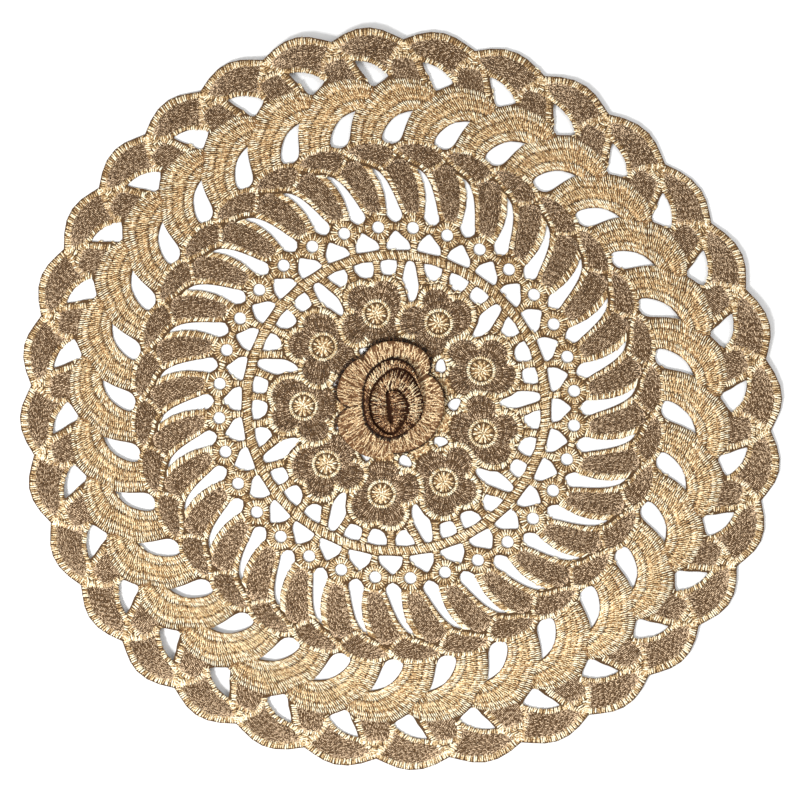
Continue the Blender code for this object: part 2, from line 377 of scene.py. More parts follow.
SATIN_STITCH = stitch_shape((-0.3, 0.3), 0.5, 0.2, 0.2)
SHORT_STITCH = stitch_shape((0.0,), 0.6, 0.3, 0.3)
FILL_STITCH = stitch_shape((), 0.85, 1.0, 0.3)
UNDER_STITCH = stitch_shape((0.0,), 0.0, 0.0, 0.0)
UNDER_HEIGHT = 0.35
UNDER_WIDTH = 1.2  # of the stitch above
UNDER_SINK = 0.05  # mm, into the backing
UV_SHIFT = 7  # of the strands, from tone to tone
# Painted light and shade: the tones fall from the bottom of the mat to its top, as the key light does.
TOP_PAINTED_SHADE = 0.12  # how much darker the tone is made at the top than at the middle


def uneven(count, low, high):
    return low + (high - low) * chance.random(count)


def sew(name, stitches, shape, material, width, heights, tones,
        levels=(STITCH_LEVEL, STITCH_LEVEL), under=True, shade=0):
    """Stamps a stitch on every (start, end) pair, and its thread on the mat's underside.

    Sizes are in mm. Heights and tones are given for each stitch or as a range, levels for its two ends.
    """
    sewn.append(stitches)
    start, end = stitches
    count = len(start)
    heights, tones = (
        uneven(count, *value) if isinstance(value, tuple) else value for value in (heights, tones)
    )
    along = end - start
    side = 1j * along / np.abs(along) * width * MM
    middle = (start + end) / 2
    first, last, heights = (np.broadcast_to(value, count)[:, None] for value in (*levels, heights))

    def placed(corners, level, height, share=1):
        flat = start[:, None] + along[:, None] * corners[:, 0] + share * side[:, None] * corners[:, 1]
        z = lift(middle)[:, None] + (level + height * corners[:, 2]) * MM
        return np.stack([flat.real, flat.imag, z], axis=-1)

    corners, faces = shape
    places = placed(corners, first + (last - first) * corners[:, 0], heights)
    if under:
        below, below_faces = UNDER_STITCH
        hanging = placed(below, BACKING_BOTTOM + UNDER_SINK, -UNDER_HEIGHT, UNDER_WIDTH)
        places = np.concatenate([places, hanging], axis=1)
        faces = np.concatenate([faces, below_faces[:, ::-1] + len(corners)])
        corners = np.concatenate([corners, below])
    # Painted shade: the given shade, and tones darker towards the top of the mat and lighter towards its
    # bottom.
    tones = tones - shade - TOP_PAINTED_SHADE * middle.imag / (RIM_RADIUS * MM)
    dressed(name, stamped(name, places, faces, corners, np.abs(along), tones), material)


def stamped(name, places, faces, corners, lengths, tones):
    """One mesh from an array of placed copies, with each copy's tone and a UV map along its thread."""
    count, size = places.shape[:2]
    every_face = (faces[None] + size * np.arange(count)[:, None, None]).reshape(-1, 3)
    mesh = bpy.data.meshes.new(name)
    mesh.from_pydata(places.reshape(-1, 3), [], every_face)
    mesh.attributes.new("tone", "FLOAT", "POINT").data.foreach_set("value", np.repeat(tones, size))
    run = lengths[:, None] / MM * corners[:, 0] + UV_SHIFT * tones[:, None]
    uv = np.stack([run, np.tile(corners[:, 1], (count, 1))], axis=-1).reshape(-1, 2)
    mesh.uv_layers.new(name="strand").data.foreach_set("uv", uv[every_face.ravel()].ravel())
    return mesh


def dressed(name, mesh, material):
    """A mesh as a piece of the mat."""
    mesh.shade_smooth()
    mesh.materials.append(material)
    made = new_object(name, mesh)
    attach(made, "root")
    return made


def run_along(line):
    """How far along a line each of its points is."""
    return np.concatenate([[0], np.cumsum(np.abs(np.diff(line)))])


def along_edges(first, second, pitch):
    """Both edges of a band at even steps along its middle."""
    run = run_along((first + second) / 2)
    count = max(2, round(run[-1] / (pitch * MM)))
    at = (np.arange(count) + 0.5) * run[-1] / count
    return np.interp(at, run, first), np.interp(at, run, second)


def same_steps(curve, count):
    run = run_along(curve)
    return np.interp(np.linspace(0, run[-1], count), run, curve)


def edges(first_rows, second_rows, middle):
    """The two edges of a band on the lying mat, from tables of (turn, radius)."""
    return [same_steps(drawn(rows, middle), EDGE_POINTS) for rows in (first_rows, second_rows)]


def drawn(rows, middle):
    turns, radii = np.array(rows).T
    return on_mat(smooth(pattern(middle + turns, radii), CURVE_STEPS))


def line_edges(line, width):
    """The two edges of a line of satin of this width in mm."""
    line = same_steps(line, EDGE_POINTS)
    across = 1j * np.gradient(line)
    across = across / np.abs(across) * width * MM / 2
    return line - across, line + across


def satin(first, second, pitch=STITCH_PITCH, lean=0.25, loose=0.2):
    """Stitches across a band: they lean a little along it, in mm, and are uneven at their ends."""
    a, b = along_edges(first, second, pitch)
    slip = loose * MM * chance.normal(size=(4, len(a)))
    along = np.gradient(a + b)
    along = along / np.abs(along)
    across = (b - a) / np.abs(b - a)
    start = a + slip[0] * across + (slip[1] - lean * MM) * along
    return start, b + slip[2] * across + (slip[3] + lean * MM) * along


def satin_lines(middle, *lines):
    """Lines of satin, each from the (turn, radius) table of its middle and its width in mm."""
    return [satin(*line_edges(drawn(rows, middle), width)) for rows, width in lines]


def fill(first, second):
    """Rows of short stitches along a band, laid like bricks."""
    widest = np.abs(second - first).max()
    rows = max(2, round(widest / (FILL_PITCH * MM)))
    starts, ends = [], []
    for row in range(rows):
        line = first + (second - first) * (row + 0.5) / rows
        run = run_along(line)
        at = np.arange(-chance.random() * FILL_LENGTH, run[-1] / MM, FILL_LENGTH)
        at = at + chance.normal(size=len(at)) * FILL_SHIFT
        low = np.clip(at + FILL_CLEAR[0], 0, run[-1] / MM) * MM
        high = np.clip(at + FILL_LENGTH - FILL_CLEAR[1], 0, run[-1] / MM) * MM
        long_enough = high - low > FILL_SHORTEST * MM
        starts.append(np.interp(low[long_enough], run, line))
        ends.append(np.interp(high[long_enough], run, line))
    return np.concatenate(starts), np.concatenate(ends)


def together(*pairs):
    return tuple(np.concatenate(ends) for ends in zip(*pairs))


def every_repeat(make):
    """All stitches of a piece, from a function of one repeat's middle turn."""
    return together(*(make(middle) for middle in REPEAT_MIDDLES))


GOLD = thread("gold_thread", (0.22, 0.115, 0.04), (0.69, 0.485, 0.24), (0.98, 0.92, 0.71))
TAN = thread("tan_thread", (0.24, 0.12, 0.045), (0.70, 0.46, 0.215), (1.0, 0.87, 0.58))
BROWN = thread("brown_thread", (0.02, 0.01, 0.005), (0.31, 0.19, 0.10), (0.95, 0.72, 0.48), roughness=0.6,
               flecks_scale=2100, flecks=5.4)

SCALLOP_INNER = (
    (-7.2, 182.6), (-6, 184), (-4.4, 185.9), (-2.6, 187), (-0.6, 186.6), (1.2, 184.8), (2.1, 183),
    (2.9, 181.4),
)
SCALLOP_FILL_LOW = (
    (-5, 170), (-4.2, 172.2), (-3.1, 174.4), (-2.1, 175.8), (-0.9, 176.8), (0.6, 177.6), (1.8, 178.8),
    (2.7, 180.6), (3.1, 182.4),
)
SCALLOP_FILL_HIGH = (
    (-5.5, 171.6), (-6, 175.6), (-6.7, 179.6), (-7.1, 182.4), (-6.3, 184.8), (-4.8, 186.8), (-3, 188),
    (-1.2, 188), (0.4, 187), (1.6, 185.4), (2.7, 183.6),
)
UNDER_LINE = (
    (3.4, 184), (2.7, 181), (1.9, 178.4), (0.9, 176.5), (-1, 175.7), (-2.2, 174.5), (-3.2, 172.9),
    (-4.2, 170.9), (-4.9, 169), (-5.4, 167.2),
)
CROSS_LINE = ((3.8, 184), (4.5, 180.6), (5.4, 176.8), (5.9, 173.4), (6, 170.4), (5.7, 167.4))
TAIL_FILL_CW = ((2.4, 177), (1.3, 173.6), (0.8, 170.2), (0.4, 167.4), (0.1, 164.6))
TAIL_FILL_CCW = ((3.8, 177.2), (5.6, 174.8), (6, 171.4), (5.7, 168.2), (5.4, 164.8))
TAIL_LINE = ((1.9, 177), (1.2, 173.6), (0.65, 170.2), (0.25, 167.4), (-0.2, 164.8))
TAIL_TOP_LINE = ((0.6, 176.8), (2, 177.1), (3.6, 177.1), (5.2, 176.4))
VALLEY_LINE_CW = ((3.6, 184.6), (3.4, 181.6), (3.2, 178.2))
VALLEY_LINE_CCW = ((3.7, 184.6), (4.1, 181.4), (4.4, 178.2))


def scallop_borders(middle):
    return together(
        satin(*edges(RIM + ((3.6, 185.2),), SCALLOP_INNER, middle)),
        *satin_lines(middle, (TAIL_TOP_LINE, 2.6), (VALLEY_LINE_CW, 3.2), (VALLEY_LINE_CCW, 3.2)),
        *satin_lines(middle, (UNDER_LINE, 2.6), (CROSS_LINE, 2.8), (TAIL_LINE, 3.2)),
    )


def scallop_fills(middle):
    return together(
        fill(*edges(SCALLOP_FILL_LOW, SCALLOP_FILL_HIGH, middle)),
        fill(*edges(TAIL_FILL_CW, TAIL_FILL_CCW, middle)),
    )


rim_satin = every_repeat(scallop_borders)
rim_fill = every_repeat(scallop_fills)
sew("rim_borders", rim_satin, SATIN_STITCH, GOLD, SATIN_WIDTH, SATIN_HEIGHTS, (0.05, 1.05))
sew("rim_fills", rim_fill, FILL_STITCH, BROWN, FILL_WIDTH, FILL_HEIGHTS, (0.2, 0.88))

# The blades: broad ribs that rise from the ring of hooks and bend clockwise over the middle openings to the
# rim. Each is sewn over a loose base: two rows of short gold satin along either side and two of darker tan
# between them, with dark brown stitches where gold and tan meet as painted shade of the needle holes.
BLADE_INNER = (
    (8.35, 134.2), (8.1, 137.2), (7.2, 141.4), (6, 144.7), (4.9, 146.9), (4, 148.4), (3.1, 149.5),
    (2.3, 150.1), (1.4, 150.5), (0, 150.8), (-1.5, 150.8), (-3, 150.4),
)
BLADE_OUTER = (
    (14.75, 134.2), (14.6, 137.6), (14.2, 141.8), (13.7, 145.8), (12.9, 149.6), (11.2, 153.6), (9.7, 157.4),
    (8.6, 161.2), (6.4, 164.8), (3.6, 165.9), (0.6, 165.6), (-2.2, 161.6),
)
# Where each blade goes under the edge of the next one: radius, turn
BLADE_END = (
    (134, -9), (149, -6), (150.4, 1.2), (153.5, 0), (155.5, -1.1), (158, -1.9), (161, -2.4),
    (166.5, -3),
)
# Where each row of stitches starts and ends across the blade
BLADE_SIDES = ((0, 0.16), (0.15, 0.315), (0.685, 0.85), (0.84, 1))
BLADE_MIDDLES = ((0.345, 0.505), (0.495, 0.655))
BLADE_BASE = ((0, 0.40), (0.3, 0.7), (0.60, 1))
# Painted shade: rows of dark brown stitches for the needle holes where gold and tan meet
BLADE_NEEDLE_SHADE_ROWS = ((0.295, 0.365), (0.635, 0.705))
BLADE_LEAN = 0.3  # mm, of its stitches
BLADE_LOOSE = 0.12  # mm, at their ends
BLADE_STEPS = 8  # between two points of its edges
END_PAINTED_SHADE = 0.8  # painted shade: how much darker the tone is made where it runs under the next blade's edge
END_PAINTED_SHADE_REACH = 1.3  # mm


def blade_row(low, high, pitch):
    """One row of a blade of the even pattern, and how far each stitch is from the next blade's edge."""
    inner, outer = (
        smooth(pattern(*np.array(edge).T), BLADE_STEPS) * MM for edge in (BLADE_INNER, BLADE_OUTER)
    )
    start, end = along_edges(inner + (outer - inner) * low, inner + (outer - inner) * high, pitch)
    start, end = start / MM, end / MM
    along = np.gradient(start + end)
    along = along / np.abs(along)
    half = (start + end) / 2
    end_turn = np.interp(np.abs(half), *np.array(BLADE_END).T)
    clear = np.radians(np.degrees(np.angle(half)) - end_turn) * np.abs(half)
    shown = clear > 0
    return (start - BLADE_LEAN * along)[shown], (end + BLADE_LEAN * along)[shown], clear[shown]


blade_repeats = pattern(REPEAT_MIDDLES, 1.0)
for name, rows, shape, material, pitch, width, heights, low, high in (
    ("blade_bases", BLADE_BASE, FILL_STITCH, TAN, 1.2, 1.4, (0.28, 0.4), 0.0, 0.7),
    ("blade_rows", BLADE_SIDES, SHORT_STITCH, GOLD, STITCH_PITCH, 0.84, (0.56, 0.8), 0.28, 1.32),
    ("blade_middle_rows", BLADE_MIDDLES, SHORT_STITCH, TAN, STITCH_PITCH, 0.84, (0.665, 0.95), 0.32, 1.0),
    ("blade_needle_shade_rows", BLADE_NEEDLE_SHADE_ROWS, FILL_STITCH, BROWN, 1.9, 0.75, (0.84, 1.2), -0.6, 0.2),
):
    start, end, clear = together(*(blade_row(first, last, pitch) for first, last in rows))
    start, end = ((blade_repeats[:, None] * ends).ravel() for ends in (start, end))
    # Painted shade along the next blade's edge, where these stitches run under it
    shade = np.tile(END_PAINTED_SHADE * np.exp(-((clear / END_PAINTED_SHADE_REACH) ** 2)), REPEATS)
    along = (end - start) / np.abs(end - start)
    count = len(start)
    slip = BLADE_LOOSE * (1j * chance.normal(size=(2, count)) + chance.normal(size=(2, count)))
    row_ends = on_mat(start - slip[0] * along), on_mat(end + slip[1] * along)
    sew(name, row_ends, shape, material, width, heights, (low, high),
        under=shape is SHORT_STITCH, shade=shade)

# The hooks and leaves: under each blade a short brown hook, and from it a long brown leaf down to the
# eyelets. Both are outlined in gold satin, which also edges the curved openings between the leaves.
HOOK_FILL_LOW = (
    (-4, 120), (-2.8, 119.9), (-1.6, 121.4), (-0.6, 122.8), (0.7, 123.8), (2, 124.8), (3.2, 126.3),
    (4.2, 127.8), (5, 129.2),
)
HOOK_FILL_HIGH = (
    (-5.6, 124.6), (-5.7, 128), (-4.9, 130.8), (-3.2, 132.4), (-1.2, 133.1), (0.6, 133.4), (2.4, 133.1),
    (4, 132), (5.2, 130.4),
)
HOOK_TOP_LINE = (
    (-5.7, 129.2), (-4.6, 131.3), (-3, 132.8), (-1.2, 133.6), (0.6, 133.9), (2.2, 133.6), (3.8, 132.6),
    (5, 131), (5.7, 129.2),
)
HOOK_UNDER_LINE = (
    (-2.6, 119.7), (-1.4, 121.4), (-0.4, 122.8), (0.9, 123.8), (2.3, 124.8), (3.5, 126.3), (4.5, 127.9),
    (5.4, 129.4),
)
HOOK_CROSS_LINE = ((5.2, 130.2), (5.4, 127.4), (6, 124.9), (7, 122.6), (8, 120.9), (8.9, 119.4))
LEAF_FILL_CW = (
    (3.4, 124.6), (1.9, 122.2), (0.8, 118.6), (0.1, 115.4), (-0.5, 112.4), (-1, 109.4), (-1.5, 106),
    (-1.7, 103), (-1.8, 100), (-1, 97.2),
)
LEAF_FILL_CCW = (
    (4.8, 124.6), (6.9, 122.2), (8.1, 119.8), (7.5, 117), (6.7, 114.2), (6.1, 111.6), (5.5, 108.9),
    (4.9, 105.8), (4.2, 102.4), (3.2, 99), (1.6, 96.8),
)
LEAF_GAP_CW = (
    (9.4, 118.6), (7.5, 113.5), (6.6, 110.4), (5.8, 107), (5.1, 103.6), (4.4, 100.5), (3.6, 97.6),
)
LEAF_GAP_CCW = (
    (0.2, 120.8), (-0.4, 118.5), (-1.1, 116), (-1.7, 113.5), (-2.2, 110.4), (-2.6, 107), (-2.9, 103.6),
    (-3, 100.5), (-3.1, 97.6), (-2.8, 95.4),
)
LEAF_SIDE_CW = (
    (2.4, 122.4), (1.4, 119.4), (0.7, 116.4), (0.1, 113.4), (-0.4, 110.2), (-0.8, 107), (-1.1, 103.6),
    (-1.2, 100.5), (-1, 98.4), (0.2, 96.9),
)
LEAF_SIDE_CCW = (
    (7.4, 119), (6.2, 114.2), (5.5, 111.2), (4.7, 107.6), (3.9, 104.2), (3.1, 101.2), (2.2, 98.6),
)
LEAF_FOOT_LINE = ((3.2, 98.4), (2.2, 97.2), (0.8, 96.8), (-0.6, 97.2))


def leaf_borders(middle):
    return together(
        *satin_lines(middle, (HOOK_TOP_LINE, 2.4), (HOOK_UNDER_LINE, 2.2), (HOOK_CROSS_LINE, 2.2)),
        satin(*edges(LEAF_GAP_CCW, LEAF_SIDE_CW, middle)),
        satin(*edges(LEAF_GAP_CW, LEAF_SIDE_CCW, middle)),
        *satin_lines(middle, (LEAF_FOOT_LINE, 2.0)),
    )


def leaf_fills(middle):
    return together(
        fill(*edges(HOOK_FILL_LOW, HOOK_FILL_HIGH, middle)),
        fill(*edges(LEAF_FILL_CW, LEAF_FILL_CCW, middle)),
    )


leaf_satin = every_repeat(leaf_borders)
leaf_fill = every_repeat(leaf_fills)
sew("leaf_borders", leaf_satin, SATIN_STITCH, GOLD, SATIN_WIDTH, SATIN_HEIGHTS, (0.0, 1.15))
sew("leaf_fills", leaf_fill, FILL_STITCH, BROWN, FILL_WIDTH, FILL_HEIGHTS, (0.1, 0.78))

# The eyelets and the thin ring: small round holes bound with satin, joined to each other and by short stems
# to a plain ring, from which spokes run in to the flowers.
EYELET_OUTER = 6.7
EYELET_STITCHES = 27
EYELET_LINK = ((3.6, 90.3), (5.6, 90.2), (7.6, 90.3))
EYELET_STEM = ((-0.9, 84.4), (-0.9, 81), (-0.95, 77.4))
THIN_RING = 75.6
THIN_RING_WIDTH = 4.5
RING_HEIGHTS = (0.56, 0.8)
SPOKE_WIDTH = 3.6
SPOKES = (
    ((-4.5, 73.6), (-4.3, 69), (-4.1, 64.8)),
    ((6.9, 73.6), (6.7, 69), (6.2, 65.2)),
    ((18.5, 73.6), (17.3, 69.5), (16.1, 66), (15, 62.6)),
    ((-14.7, 73.6), (-14.4, 70), (-13.9, 66.6), (-13.4, 63.6)),
)


def rays(stitches, inner, outer, loose, slant=0.0):
    """Stitches that run outwards all round a point, in mm from it."""
    spoke = np.exp(2j * math.pi * (np.arange(stitches) + chance.random()) / stitches)
    slip = loose * chance.normal(size=(2, stitches))
    return spoke * (inner + slip[0]), spoke * np.exp(1j * math.radians(slant)) * (outer + slip[1])


def eyelet(middle):
    centre = pattern(middle, EYELET_RING)
    return together(
        [on_mat(centre + ends) for ends in rays(EYELET_STITCHES, EYELET_HOLE, EYELET_OUTER, 0.12)],
        *satin_lines(middle, (EYELET_LINK, 3.4), (EYELET_STEM, 3.5)),
    )


def spokes(middle):
    return together(*satin_lines(middle, *((rows, SPOKE_WIDTH) for rows in SPOKES)))


def every_flower(make):
    return together(*(make(middle) for middle in FLOWER_MIDDLES))


around = np.linspace(0, 360, 721)
ring_edges = [on_mat(pattern(around, THIN_RING + side * THIN_RING_WIDTH / 2)) for side in (-1, 1)]
ring_satin = together(every_repeat(eyelet), every_flower(spokes), satin(*ring_edges, lean=0.7))
sew("eyelet_ring", ring_satin, SATIN_STITCH, GOLD, SATIN_WIDTH, RING_HEIGHTS, (0.05, 0.95))

# The ring of nine flowers: each has four brown petals of satin that runs outwards, edged in gold, and a
# middle of a gold ring round a star of gold stitches. Each flower's side petal lies over the next flower.
FLOWER_RADIUS = 46.7
CENTRE_RING = 7.5
FILL_START = 7.3  # mm from the flower's middle
BORDER_WIDTH = 2.7
ROSE_GAP_EDGE = (0.3, 2.4)  # mm out from the gap beside the rose, which satin binds
# Middle lines of the gold borders, in mm from the flower's middle: across, clockwise, and outward
OUTWARD_BORDERS = (
    (
        (-12, 3.4), (-13.7, 5.8), (-14.2, 8.6), (-13.6, 11.8), (-11.6, 14.7), (-8.6, 16.6), (-5, 17.1),
        (-2, 16.4), (-0.3, 14.2),
    ),
    (
        (0.1, 14.2), (2.2, 16.4), (5.4, 17.2), (9, 16.5), (12.2, 14.2), (14.5, 10.8), (15.3, 7.2),
        (15, 3.6), (13.6, 0.8),
    ),
)
SIDE_BORDER = (
    (-10.4, 3.6), (-13.8, 3.4), (-17, 1.5), (-19.2, -2), (-19.6, -5.8), (-18.6, -9.6), (-16.2, -12.6),
    (-12.8, -13.8), (-9.6, -13.2), (-7.2, -11.4),
)
INWARD_EDGE = (
    (-7.2, -11.4), (-6.4, -14.4), (-3.6, -16.4), (1, -16.8), (5.4, -16.2), (7.6, -13.8), (8.4, -10),
)
HIDDEN_EDGE = ((8.4, -10), (8.6, -6.4), (9.6, -3), (11.6, -0.4), (13.6, 0.8))


def on_flower(middle, place):
    """Points on the lying mat, from complex numbers of across and outward in mm."""
    return on_mat((FLOWER_RADIUS + place.imag - 1j * place.real) * pattern(middle, 1.0))


def flower_line(rows):
    return smooth(np.array(rows) @ (1, 1j), CURVE_STEPS)


def flower_borders(middle):
    lines = [flower_line(rows) for rows in OUTWARD_BORDERS + (SIDE_BORDER,)]
    return together(
        *(satin(*line_edges(on_flower(middle, line), BORDER_WIDTH)) for line in lines),
        satin(*(on_mat(gap_outline(SPOKE_GAPS[-1], middle, grow)) for grow in ROSE_GAP_EDGE)),
    )


def flower_fills(middle):
    """Three rows of satin from the middle ring out to each petal's edge."""
    rows = []
    for table in OUTWARD_BORDERS + (SIDE_BORDER, INWARD_EDGE, HIDDEN_EDGE):
        edge = same_steps(flower_line(table), 40)
        ring = FILL_START * edge / np.abs(edge)
        for shares in ((0.0, 0.36), (0.34, 0.68), (0.66, 1.0)):
            sides = (on_flower(middle, ring + (edge - ring) * share) for share in shares)
            rows.append(satin(*sides, pitch=0.9, lean=0.1))
    return together(*rows)


def flower_rays(middle, stitches, inner, outer, slant=0.0):
    return [on_flower(middle, ends) for ends in rays(stitches, inner, outer, 0.1, slant)]


def flower_middle(middle):
    """The gold ring, the rays inside it and the star."""
    return together(
        flower_rays(middle, 40, CENTRE_RING - 1.7, CENTRE_RING, slant=6),
        flower_rays(middle, 11, 3.0, 5.2),
        flower_rays(middle, 9, 1.4, 3.4),
        flower_rays(middle, 6, 0.2, 2.2),
    )


def flower_base(middle):
    return flower_rays(middle, 20, 0.6, 5.6)


flower_satin = every_flower(flower_borders)
flower_fill = every_flower(flower_fills)
centre_satin = every_flower(flower_middle)
centre_base = every_flower(flower_base)
for name, stitches, shape, material, width, heights, low, high, raised in (
    ("flower_borders", flower_satin, SATIN_STITCH, GOLD, SATIN_WIDTH, (0.56, 0.8), 0.25, 1.15, 0.2),
    ("flower_fills", flower_fill, FILL_STITCH, BROWN, 0.95, (0.385, 0.55), -0.15, 0.65, 0.0),
    ("flower_middles", centre_satin, SATIN_STITCH, GOLD, SATIN_WIDTH, (0.7, 1.0), 0.4, 1.0, 0.2),
    ("flower_middle_bases", centre_base, SHORT_STITCH, TAN, SATIN_WIDTH, (0.385, 0.55), 0.0, 0.6, 0.0),
):
    sew(name, stitches, shape, material, width, heights, (low, high),
        levels=(STITCH_LEVEL + raised, STITCH_LEVEL + raised), under=stitches is not centre_base)

# Between the borders the cloth is closed by short stitches that cross every way, in gold, and in tan beside
# the rose. They lie low, wherever the borders and fills leave the backing bare, and clear of the gaps.
CELL = 0.5  # mm
CELLS = 800
STITCH_REACH = 0.4  # mm, that a stitch covers to each side
CROSSING_LENGTH = 2.2
HIDDEN_RADIUS = 20.0  # mm, under the rose
TAN_RADIUS = 38.0


def cell_of(place):
    return np.clip((np.array([place.imag, place.real]) / MM / CELL + CELLS / 2).astype(int), 0, CELLS - 1)


def inside_lace():
    """The cells of the table that the backing covers."""
    cells = np.zeros((CELLS, CELLS), dtype=bool)
    for outline in lace_outlines():
        corners = on_mat(outline) / MM / CELL + (1 + 1j) * CELLS / 2
        for first, second in zip(corners, np.roll(corners, -1)):
            low, high = sorted((first, second), key=lambda corner: corner.imag)
            for row in range(math.ceil(low.imag), math.ceil(high.imag)):
                share = (row - low.imag) / (high.imag - low.imag)
                cells[row, math.ceil(low.real + (high.real - low.real) * share):] ^= True
    return cells


def crossing_stitches():
    lace = inside_lace()
    covered = np.zeros_like(lace)
    for start, end in sewn:
        side = 1j * (end - start) / np.abs(end - start)
        for along in np.linspace(0, 1, 13):
            for across in (-STITCH_REACH, 0, STITCH_REACH):
                covered[tuple(cell_of(start + (end - start) * along + side * across * MM))] = True
    bare = lace & ~covered
    for step, axis in ((1, 0), (-1, 0), (1, 1), (-1, 1)):
        bare &= ~np.roll(covered, step, axis)
    rows, columns = np.nonzero(bare)
    middle = np.hypot(rows - CELLS / 2, columns - CELLS / 2) * CELL
    kept = np.where(middle < HIDDEN_RADIUS, (rows % 3 == 0) & (columns % 3 == 0), (rows + columns) % 2 == 0)
    rows, columns = rows[kept], columns[kept]
    count = len(rows)
    place = (columns + chance.random(count)) + 1j * (rows + chance.random(count)) - (1 + 1j) * CELLS / 2
    place = place * CELL * MM
    reach = np.exp(1j * math.pi * chance.random(count)) * CROSSING_LENGTH * MM / 2
    start, end = place - reach, place + reach
    held = lace[tuple(cell_of(start))] & lace[tuple(cell_of(end))]
    return start[held], end[held]


crossing = crossing_stitches()
beside_rose = np.abs(crossing[0]) < TAN_RADIUS * MM
for name, kept, material, low in (
    ("crossing_stitches", ~beside_rose, GOLD, 0.2), ("crossing_stitches_by_rose", beside_rose, TAN, -0.3)
):
    stitches = [ends[kept] for ends in crossing]
    sew(name, stitches, FILL_STITCH, material, 1.0, (0.4, 0.8), (low, 1))

# The rose's outer petals: one layer of four broad petals of tan thread, sewn on at the middle, with raised
# free edges. They are covered by five overlapping rows of stitches that run outwards.
ROSE_CENTRE = -1.7 + 1.1j - MIDDLE
PETAL_UNDERSIDE = 1.8
PETAL_THICKNESS = 1.0
PETAL_RISE = 1.7
PETAL_LAP = 0.45
PETAL_SEAM = 0.7  # depth of the seams between petals
SEAT_SHARE = 0.8
OPEN_SEAM = 265  # degrees, where two petals run into each other without a seam
OPEN_SEAM_REACH = 20
STITCH_SINK = 0.2  # mm, of the stitches into the rose's cloth
# Start in degrees, reach and notch in mm
ROSE_PETALS = np.array(
    ((-95, 26.6, 25.8), (37, 30.6, 22.5), (123, 28.6, 26.5), (187, 31, 21), (265, 26.6, 25.8))
)
BRONZE = thread("bronze_thread", (0.04, 0.011, 0.003), (0.46, 0.23, 0.09), (1.0, 0.84, 0.54),
                flecks_scale=1600, flecks=3.2)
PETAL_TAN = thread("petal_thread", (0.20, 0.09, 0.035), (0.66, 0.42, 0.21), (1.0, 0.84, 0.54),
                   flecks_scale=1900, flecks=4.5)


def beside_open_seam(turn):
    return np.abs(turn % 360 - OPEN_SEAM) <= OPEN_SEAM_REACH


def rose_petal(turn, share):
    """A point on the petals' upper side: its place in mm from the rose's middle, and its height in mm."""
    turn = (turn + 95) % 360 - 95
    index = np.searchsorted(ROSE_PETALS[1:, 0], turn, side="right")
    first, following = ROSE_PETALS[index], ROSE_PETALS[index + 1]
    across = 2 * (turn - first[..., 0]) / (following[..., 0] - first[..., 0]) - 1
    notch = first[..., 2] + (following[..., 2] - first[..., 2]) * (across + 1) / 2
    radius = share * (notch + (first[..., 1] - notch) * (1 - across**4))
    free = np.maximum(0, (share - SEAT_SHARE) / (1 - SEAT_SHARE))
    seam = PETAL_SEAM * across**10 * ~beside_open_seam(turn)
    height = PETAL_UNDERSIDE + PETAL_THICKNESS - seam
    height = height + free * (PETAL_RISE * (1 - across**4) + PETAL_LAP * across)
    return radius * np.exp(1j * np.radians(turn)), height, np.abs(across)


def closed_disc(place, height, bottom):
    """A closed disc from rings of points: its upper side outwards from the middle, then its underside."""
    rings, steps = place.shape
    upper, lower = (np.stack([place.real, place.imag, level], axis=-1) for level in (height, bottom))
    corners = np.concatenate([upper, lower[::-1]]).reshape(-1, 3)
    ring = np.arange(2 * rings - 1)[:, None] * steps
    step = np.arange(steps)
    after = (step + 1) % steps
    sides = np.stack([ring + step, ring + steps + step, ring + steps + after, ring + after], axis=-1)
    caps = [list(range(steps)), list(range(2 * rings * steps - 1, (2 * rings - 1) * steps - 1, -1))]
    mesh = bpy.data.meshes.new("disc")
    mesh.from_pydata(corners * MM, [], sides.reshape(-1, 4).tolist() + caps)
    bm = bmesh.new()
    bm.from_mesh(mesh)
    return closed_up(bm)


def sew_on_rose(name, centre, starts, ends, shape, material, width, heights, tones):
    """Sews from lists of the places and heights, in mm, of the stitches' starts and ends."""
    start, start_level = np.concatenate(starts, axis=1)
    end, end_level = np.concatenate(ends, axis=1)
    stitches = (centre + start) * MM, (centre + end) * MM
    levels = start_level.real - STITCH_SINK, end_level.real - STITCH_SINK
    sew(name, stitches, shape, material, width, heights, tones, levels, under=False)


def placed_cloth(name, bm, material):
    mesh = bpy.data.meshes.new(name)
    bm.to_mesh(mesh)
    bm.free()
    return dressed(name, mesh, material)


turns, shares = np.meshgrid(np.linspace(0, 360, 240, endpoint=False), np.linspace(0.05, 1, 14))
place, height, across = rose_petal(turns, shares)
# Painted shade, in part: the petal cloth is near black, and where it shows, in the seams and past the
# stitches' ends, it stands for the shade there.
TAN_NET = net_thread("tan_net", (0.03, 0.013, 0.006), (0.20, 0.10, 0.045))
bottom = np.maximum(PETAL_UNDERSIDE, height - PETAL_THICKNESS)
petals = placed_cloth(
    "rose_petal_cloth", closed_disc(ROSE_CENTRE + place, height, bottom), TAN_NET
)
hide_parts("rose_petals")

# How light the petals' thread is: turn in degrees, tone
PETAL_TONES = (
    (0, -0.1), (60, 0.1), (90, 0.25), (115, 0.1), (140, -0.1), (180, 0), (225, -0.1), (270, 0),
    (360, -0.1),
)
PETAL_STITCH = stitch_shape((-0.3, 0.3), 0.7, 0.3, 0.3)
PETAL_REACH = 27  # mm, about, from the rose's middle
PETAL_SLIP = 0.04  # of that reach, at the stitches' ends
PETAL_FAN = 3.0  # degrees by which they turn from straight outwards, give or take
INNER_PAINTED_SHADE = 0.3  # painted shade: how much darker the inmost row is made, beside the roll
